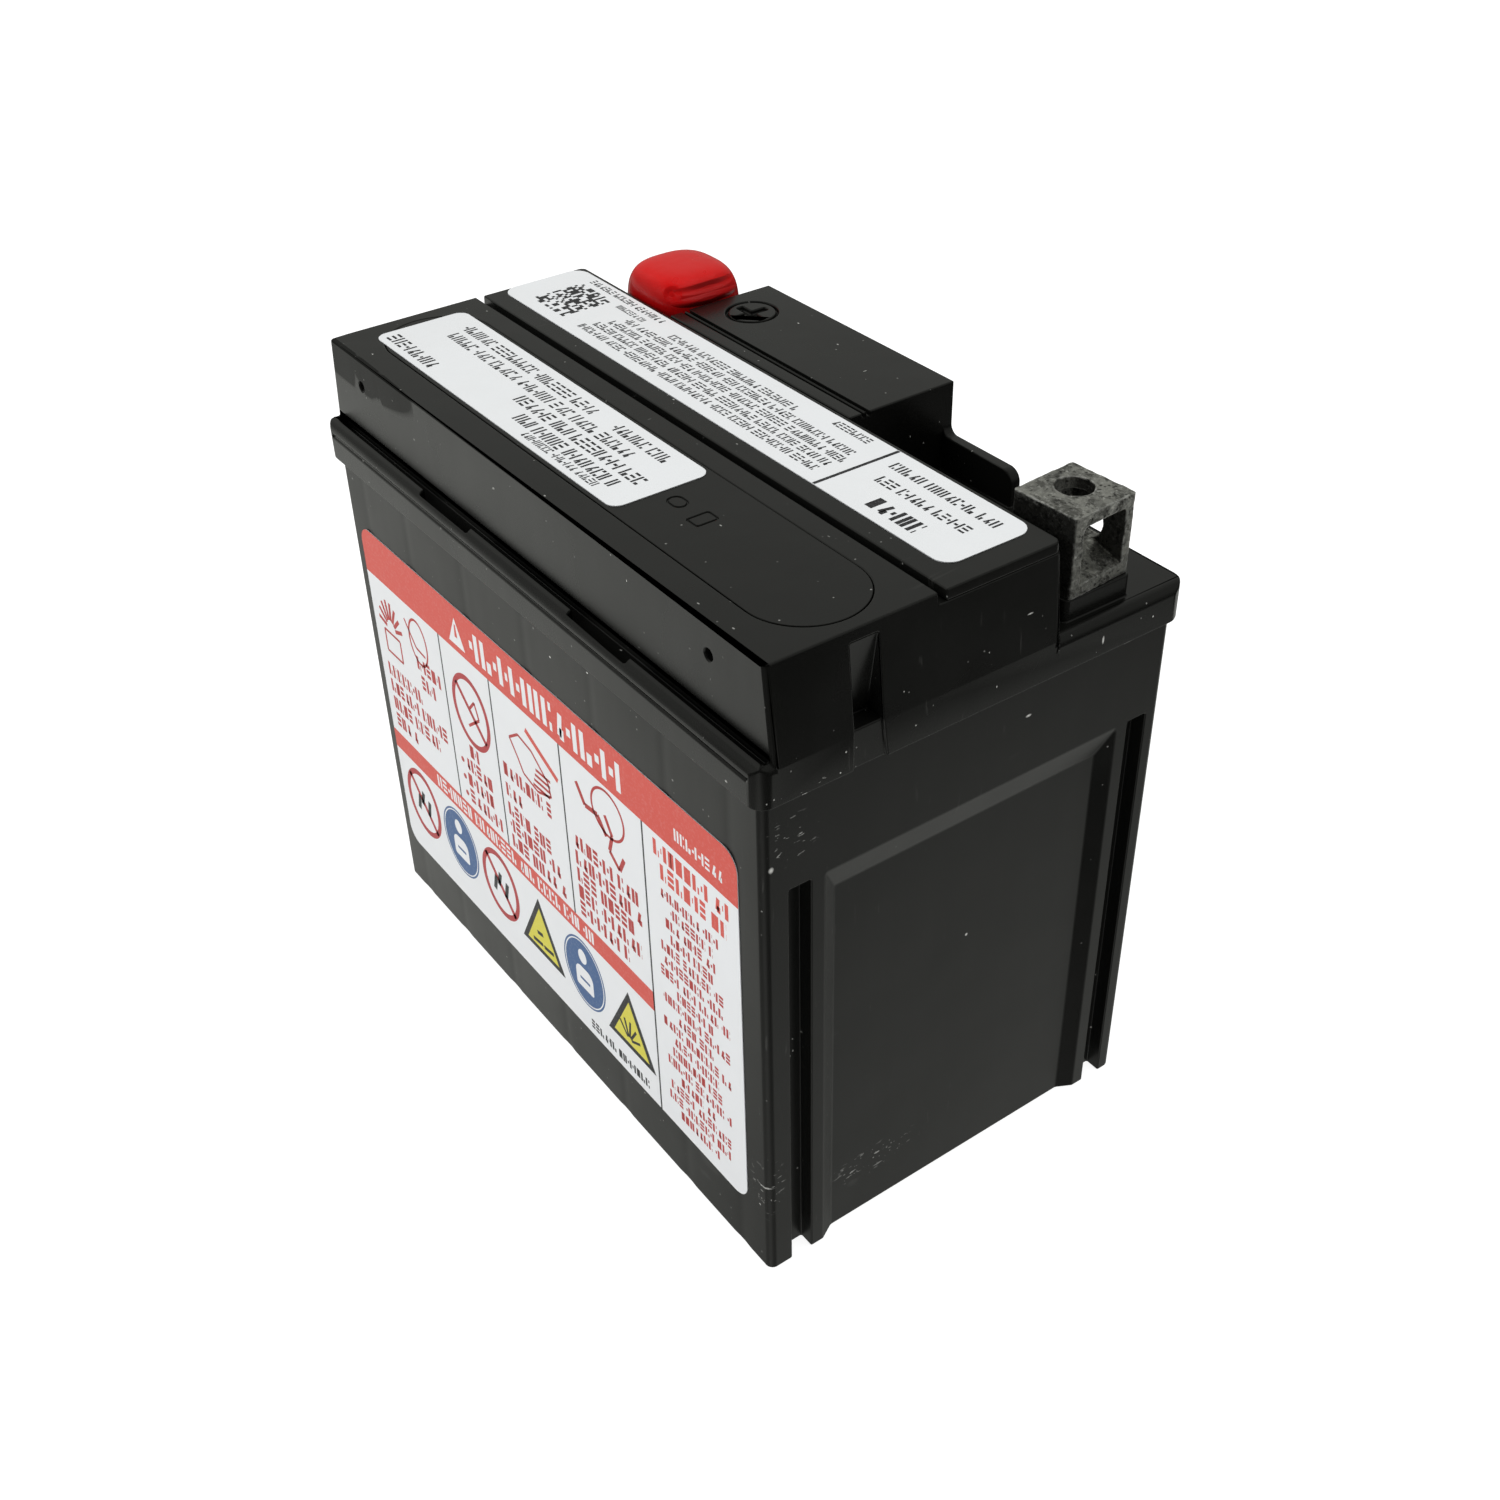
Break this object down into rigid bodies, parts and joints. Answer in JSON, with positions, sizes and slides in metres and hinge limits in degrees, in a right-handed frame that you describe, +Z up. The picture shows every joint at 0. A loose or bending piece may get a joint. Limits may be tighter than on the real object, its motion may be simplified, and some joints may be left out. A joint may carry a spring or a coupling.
{
  "type": "motorcycle battery",
  "caption": "Sealed 12 V lead-acid motorcycle battery: black ribbed-end case, raised cover with plug strip, block terminals, red terminal cap and white labels.",
  "frame": {"origin": "centre of the underside's bounding rectangle", "axes": "+Z up, X along the length with the positive terminal at -X, -Y towards the front face with the large label"},
  "size_m": [0.114, 0.0702, 0.1084],
  "materials": {
    "container_plastic": "satin moulded black",
    "cover_plastic": "semi-gloss moulded black",
    "strip_plastic": "semi-gloss moulded black",
    "porous_disc": "porous sintered disc",
    "valve_rubber": "soft matte black",
    "seal_rubber": "matte black",
    "red_cap": "soft glossy red",
    "terminal_lead": "mottled cast lead",
    "inner_lead": "cast lead",
    "positive_plate": "cured dark brown paste",
    "negative_plate": "cured grey paste",
    "glass_mat": "white glass fibre mat",
    "printed_label": null
  },
  "bodies": {
    "battery": {"container": "container_plastic", "cover": "cover_plastic", "vent_plate": "cover_plastic", "flame_arrestors": "porous_disc", "negative_terminal": "terminal_lead", "positive_terminal": "terminal_lead", "negative_pole": "inner_lead", "positive_pole": "inner_lead", "negative_pole_seal": "seal_rubber", "positive_pole_seal": "seal_rubber", "positive_plates_1": "positive_plate", "positive_plates_2": "positive_plate", "positive_plates_3": "positive_plate", "positive_plates_4": "positive_plate", "positive_plates_5": "positive_plate", "positive_plates_6": "positive_plate", "negative_plates_1": "negative_plate", "negative_plates_2": "negative_plate", "negative_plates_3": "negative_plate", "negative_plates_4": "negative_plate", "negative_plates_5": "negative_plate", "negative_plates_6": "negative_plate", "separators_1": "glass_mat", "separators_2": "glass_mat", "separators_3": "glass_mat", "separators_4": "glass_mat", "separators_5": "glass_mat", "separators_6": "glass_mat", "cell_link_1": "inner_lead", "cell_link_2": "inner_lead", "cell_link_3": "inner_lead", "cell_link_4": "inner_lead", "cell_link_5": "inner_lead", "front_label": "printed_label", "plate_label": "printed_label"},
    "plug_strip": {"sealing_plug_strip": "strip_plastic", "strip_label": "printed_label"},
    "red_cap": {"red_terminal_cap": "red_cap"},
    "valve_1": {"relief_valve_1": "valve_rubber"},
    "valve_2": {"relief_valve_2": "valve_rubber"},
    "valve_3": {"relief_valve_3": "valve_rubber"},
    "valve_4": {"relief_valve_4": "valve_rubber"},
    "valve_5": {"relief_valve_5": "valve_rubber"},
    "valve_6": {"relief_valve_6": "valve_rubber"}
  },
  "joints": [
    {"name": "plug_strip_lift", "type": "slide", "parent": "battery", "child": "plug_strip", "axis": [0, 0, 1], "range_m": [0, 0.012]},
    {"name": "red_cap_pull", "type": "slide", "parent": "battery", "child": "red_cap", "axis": [0, 0, 1], "range_m": [0, 0.03]},
    {"name": "relief_valve_1_lift", "type": "slide", "parent": "battery", "child": "valve_1", "axis": [0, 0, 1], "range_m": [0, 0.0004], "stiffness_N_per_m": 100, "springref_m": -0.001},
    {"name": "relief_valve_2_lift", "type": "slide", "parent": "battery", "child": "valve_2", "axis": [0, 0, 1], "range_m": [0, 0.0004], "stiffness_N_per_m": 100, "springref_m": -0.001},
    {"name": "relief_valve_3_lift", "type": "slide", "parent": "battery", "child": "valve_3", "axis": [0, 0, 1], "range_m": [0, 0.0004], "stiffness_N_per_m": 100, "springref_m": -0.001},
    {"name": "relief_valve_4_lift", "type": "slide", "parent": "battery", "child": "valve_4", "axis": [0, 0, 1], "range_m": [0, 0.0004], "stiffness_N_per_m": 100, "springref_m": -0.001},
    {"name": "relief_valve_5_lift", "type": "slide", "parent": "battery", "child": "valve_5", "axis": [0, 0, 1], "range_m": [0, 0.0004], "stiffness_N_per_m": 100, "springref_m": -0.001},
    {"name": "relief_valve_6_lift", "type": "slide", "parent": "battery", "child": "valve_6", "axis": [0, 0, 1], "range_m": [0, 0.0004], "stiffness_N_per_m": 100, "springref_m": -0.001}
  ]
}
